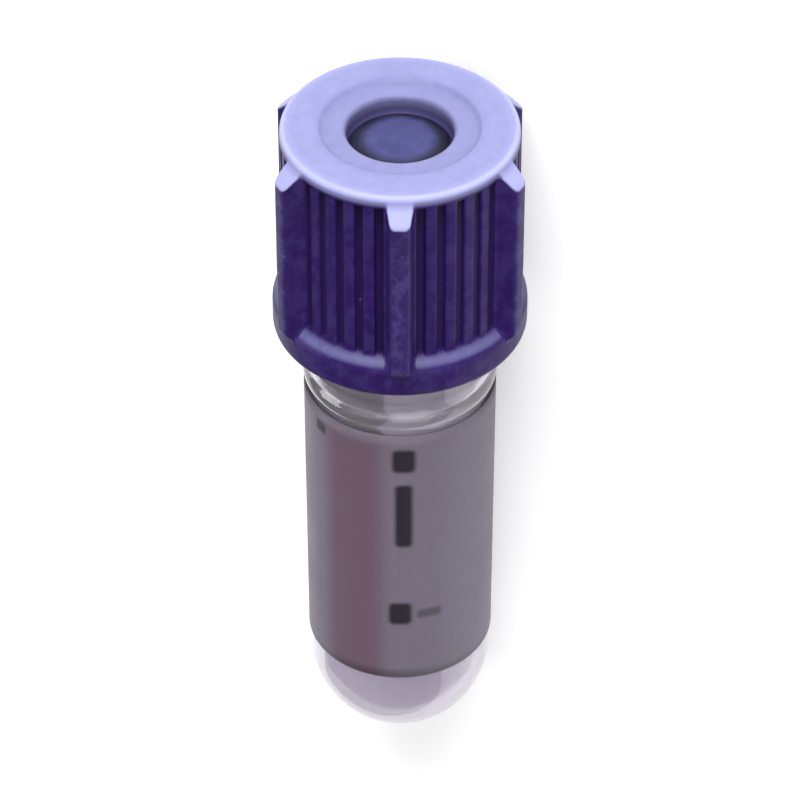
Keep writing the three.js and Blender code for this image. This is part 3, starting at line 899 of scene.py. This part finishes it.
        # The straight cut across the hole's edge becomes a quarter circle.
        slack = 1e-9
        lip = over[:, 0] < cap.hole + cap.lip + slack
        lip &= over[:, 1] > floor - cap.lip - slack
        before, after = over[: np.argmax(lip)], over[len(lip) - np.argmax(lip[::-1]):]
        curve = arc(floor - cap.lip, cap.lip, cap.lip, math.pi / 2, math.pi, 6)
        curve[:, 0] += cap.hole + cap.lip
        profile = np.concatenate([inside, collar, barrel, before, curve, after])
        index = np.arange(len(profile))
        outside = (index >= len(inside)) & (profile[:, 0] > cap.barrel - 0.01 * MM)
        skirt = (index < len(inside)) & (profile[:, 1] < snap_foot)
        return profile, outside, skirt

    def masks(self, cap, out, up, outside, limit, wing_out, rib_out):
        """Where painted light makes the plastic pale: on the top, the hole's wall, the wings'
        slopes, the ledge and the wing tips, with painted shade along the dish's step; where
        handling wears it; where painted shade darkens a groove; and where the rim and the wings'
        slopes get a painted highlight. `limit` is how far out a wing may reach."""
        flange_top = cap.foot + cap.flange_tall
        rib_top = cap.head - cap.rim_depth / 2
        # Painted light on the top face, with painted shade along the dish's step.
        top = ramp(up, cap.head - 0.55 * MM, cap.head - 0.12 * MM)
        step = near(out, cap.dish, 0.1 * MM, 0.3 * MM)
        # Painted light on the needle hole's wall.
        wall = ramp(up, cap.head - cap.top_wall, cap.head - 0.5 * MM) * (out < cap.dish)
        top = np.maximum(top * (1 - 0.12 * step), wall * 0.6)
        # Painted light on the wings' sloping shoulders.
        slope = outside * ramp(out - limit, -0.14 * MM, -0.02 * MM)
        slope = slope * (out > cap.rim + 0.08 * MM) * (up > cap.head - 2.2 * MM)
        # Painted highlight along the ledge above the collar, left off under the wings.
        ledge = outside * near(up, flange_top + 0.22 * MM, 0.08 * MM, 0.34 * MM)
        ledge = ledge * ramp(out, cap.barrel + 0.1 * MM, cap.barrel + 0.4 * MM)
        ledge = ledge * (1 - ramp(wing_out, cap.barrel, cap.barrel + 0.3 * MM))
        # Painted highlight on the rim's outer edge.
        rim = top * ramp(out, cap.rim - 0.45 * MM, cap.rim - 0.1 * MM)
        # Painted shade in the grooves, darkest under the rim.
        groove = 1 - ramp(rib_out, cap.barrel, cap.barrel + cap.rib_rise * 0.8)
        groove = groove * (out < cap.barrel + 0.12 * MM) * outside
        groove = groove * (0.45 + 0.55 * ramp(up, rib_top - 3.5 * MM, rib_top - 0.5 * MM))
        crest = ramp(rib_out, cap.barrel + 0.1 * MM, cap.barrel + cap.rib_rise)
        crest = crest * ((up < rib_top) & (up > flange_top))
        # The wing tips get a little painted light, and are also edges that handling wears.
        fin = ramp(out, cap.wing_tip - 0.12 * MM, cap.wing_tip - 0.02 * MM)
        collar = ramp(out, cap.flange - 0.12 * MM, cap.flange)
        collar = collar * (up < flange_top - cap.flange_round + 0.5 * MM)
        # Of these, the first holds painted light and shade, rim a painted highlight, groove painted
        # shade, and edge the handling wear.
        return {
            "painted_light": np.maximum(np.maximum(top, slope), np.maximum(ledge * 0.36, fin * 0.035)),
            "edge": outside * np.maximum(np.maximum(crest * 0.4, fin), collar * 0.5),
            "groove": groove,
            "rim": np.maximum(rim, slope * 0.6),
        }

    def execute(self, context):
        cap = context.scene.blood_tube_cap
        grips, grip_rise, foot_slope = 12, 0.16 * MM, 1.03
        turn, wing_out, rib_out = (part[:, None] for part in self.outline(cap))
        profile, outside, skirt = (part[None] for part in self.profile(cap))
        away, up = profile[..., 0], profile[..., 1]
        # A wing stops at a slope down from the rim and at another up from the collar.
        shoulder, reach = cap.head - cap.rim_round, cap.wing_tip - cap.rim
        from_top = cap.rim + (shoulder - up) * reach / cap.wing_shoulder
        collar_edge = cap.foot + cap.flange_tall - cap.flange_round
        from_foot = cap.flange + (up - collar_edge) * foot_slope
        limit = smooth_min(from_top, from_foot, 0.1 * MM)
        wing = smooth_min(wing_out, limit, 0.12 * MM)
        rib_top, fade = cap.head - cap.rim_depth / 2, 0.1 * MM
        rib = rib_out - 0.4 * MM * ramp(up, rib_top - fade, rib_top + fade)
        raised = smooth_max(smooth_max(away, rib, 0.06 * MM), wing, 0.08 * MM)
        inward = grip_rise * ramp(np.cos(turn * grips), 0.35, 0.9)
        gripped = np.maximum(away - inward, cap.snap)
        out = np.where(outside, raised, np.where(skirt, gripped, away))
        up = np.broadcast_to(up, out.shape)
        points = round_about(out, up, turn)
        faces = grid_faces(*out.shape, round_columns=True, round_rows=True).tolist()
        masks = self.masks(cap, out, up, outside, limit, wing_out, rib_out)
        material = cap_plastic(cap)
        make_piece("ribbed_cap", points, faces, "closure", "cap", material, masks)
        return {"FINISHED"}


# Name, direction from the tube, distance, width and height, and power.
LAMPS = [
    ("Key", (0.95, -0.12, 0.42), 0.6, (0.4, 0.4), 5.5),
    ("Fill", (-0.3, -0.8, 0.8), 0.7, (0.5, 0.5), 0.8),
    ("Strip", (0.07, -0.5, 0.87), 0.3, (0.1, 0.3), 0.12),
    ("Rim", (-0.2, 0.9, 0.7), 0.7, (0.35, 0.35), 1.4),
]
SURROUND = 0.26  # light from all round; what the camera sees of it is white
BENCH_HALF = 1.5  # half the bench's width
AIM_UP, AIM_OUT = 0.025, 0.001  # what the camera looks at: up the axis, and out from it


class MakeStudio(bpy.types.Operator):
    """The bench, four soft lamps, an even pale surround and the camera"""

    bl_idname = "blood_tube.make_studio"
    bl_label = "Studio"

    def lamp(self, name, towards, away, size, power):
        """A soft rectangular lamp at a distance in a direction, facing the tube. Its width lies
        level with the bench."""
        light = bpy.data.lights.new(name, "AREA")
        light.shape = "RECTANGLE"
        light.size, light.size_y = size
        light.energy = power  # watts
        lamp = bpy.data.objects.new(name, light)
        towards = Vector(towards).normalized()
        lamp.location = towards * away
        lamp.rotation_mode = "QUATERNION"
        lamp.rotation_quaternion = (-towards).to_track_quat("-Z", "Y")
        bpy.context.scene.collection.objects.link(lamp)

    def surround(self, scene):
        """An even white world, at full strength only where it is seen."""
        world = bpy.data.worlds.new("Pale surround")
        world.use_nodes = True
        tree = world.node_tree
        scene.world = world
        background = node_like(tree, "BACKGROUND")
        background.inputs["Color"].default_value = (1, 1, 1, 1)
        path = add_node(tree, "ShaderNodeLightPath").outputs
        seen = maths(tree, "ADD", path["Is Camera Ray"], path["Is Transmission Ray"], clamp=True)
        strength = maths(tree, "MULTIPLY_ADD", seen, 1 - SURROUND, SURROUND)
        tree.links.new(strength, background.inputs["Strength"])

    def bench(self, sizes):
        """A level square at the height of the CAD box's floor."""
        half, low = BENCH_HALF, cad_box[0][2]
        mesh = bpy.data.meshes.new("bench")
        corners = [(-half, -half, low), (half, -half, low), (half, half, low), (-half, half, low)]
        mesh.from_pydata(corners, [], [(0, 1, 2, 3)])
        mesh.materials.append(bench_top(sizes))
        bench = bpy.data.objects.new("bench", mesh)
        bpy.context.scene.collection.objects.link(bench)

    def camera(self, scene, sizes):
        """Looks at the tube's middle from a direction given by its angle to the tube's axis and
        its turn about it, with the axis upright in the picture."""
        round_axis = -DOWN * math.cos(sizes.turn) - ACROSS * math.sin(sizes.turn)
        back = AXIS * math.cos(sizes.tilt) + round_axis * math.sin(sizes.tilt)
        aim = TIP + AXIS * AIM_UP + round_axis * AIM_OUT
        up = unit(AXIS - (AXIS @ back) * back)
        right = np.cross(up, back)
        data = bpy.data.cameras.new("Camera")
        data.lens = sizes.lens
        data.clip_start, data.clip_end = 0.005, 20.0
        camera = bpy.data.objects.new("Camera", data)
        scene.collection.objects.link(camera)
        columns = np.stack([right, up, back, aim + back * sizes.away], axis=1)
        camera.matrix_world = Matrix([*columns.tolist(), [0, 0, 0, 1]])
        scene.camera = camera

    def execute(self, context):
        scene = context.scene
        sizes = scene.blood_tube_studio
        scene.view_settings.view_transform = "Standard"
        self.bench(sizes)
        self.surround(scene)
        for row in LAMPS:
            self.lamp(*row)
        self.camera(scene, sizes)
        return {"FINISHED"}


class BloodTubePanel(bpy.types.Panel):
    """Lists the sizes and the steps that make the tube"""

    bl_idname = "VIEW3D_PT_blood_tube"
    bl_label = "Blood Tube"
    bl_space_type = "VIEW_3D"
    bl_region_type = "UI"
    bl_category = "Blood Tube"

    def draw(self, context):
        for step, group in STEPS:
            box = self.layout.box()
            box.operator(step.bl_idname)
            sizes = getattr(context.scene, group)
            for name in sizes.__annotations__:
                box.prop(sizes, name)


STEPS = [
    (MakeVessel, "blood_tube_vessel"),
    (MakeLabel, "blood_tube_label"),
    (MakeStopper, "blood_tube_stopper"),
    (MakeCap, "blood_tube_cap"),
    (MakeStudio, "blood_tube_studio"),
]
GROUPS = [BloodTubeVessel, BloodTubeLabel, BloodTubeStopper, BloodTubeCap, BloodTubeStudio]
CLASSES = [*GROUPS, *(step for step, _ in STEPS), BloodTubePanel]


def register():
    for kind in CLASSES:
        bpy.utils.register_class(kind)
    for kind, (_, group) in zip(GROUPS, STEPS):
        setattr(bpy.types.Scene, group, PointerProperty(type=kind))


def unregister():
    for _, group in STEPS:
        delattr(bpy.types.Scene, group)
    for kind in reversed(CLASSES):
        bpy.utils.unregister_class(kind)


def main():
    register()
    for group in (moulded_grain, handling_wear, printed_bar):
        group()
    bpy.ops.blood_tube.make_vessel()
    bpy.ops.blood_tube.make_label()
    bpy.ops.blood_tube.make_stopper()
    bpy.ops.blood_tube.make_cap()
    bpy.ops.blood_tube.make_studio()


if __name__ == "__main__":
    main()
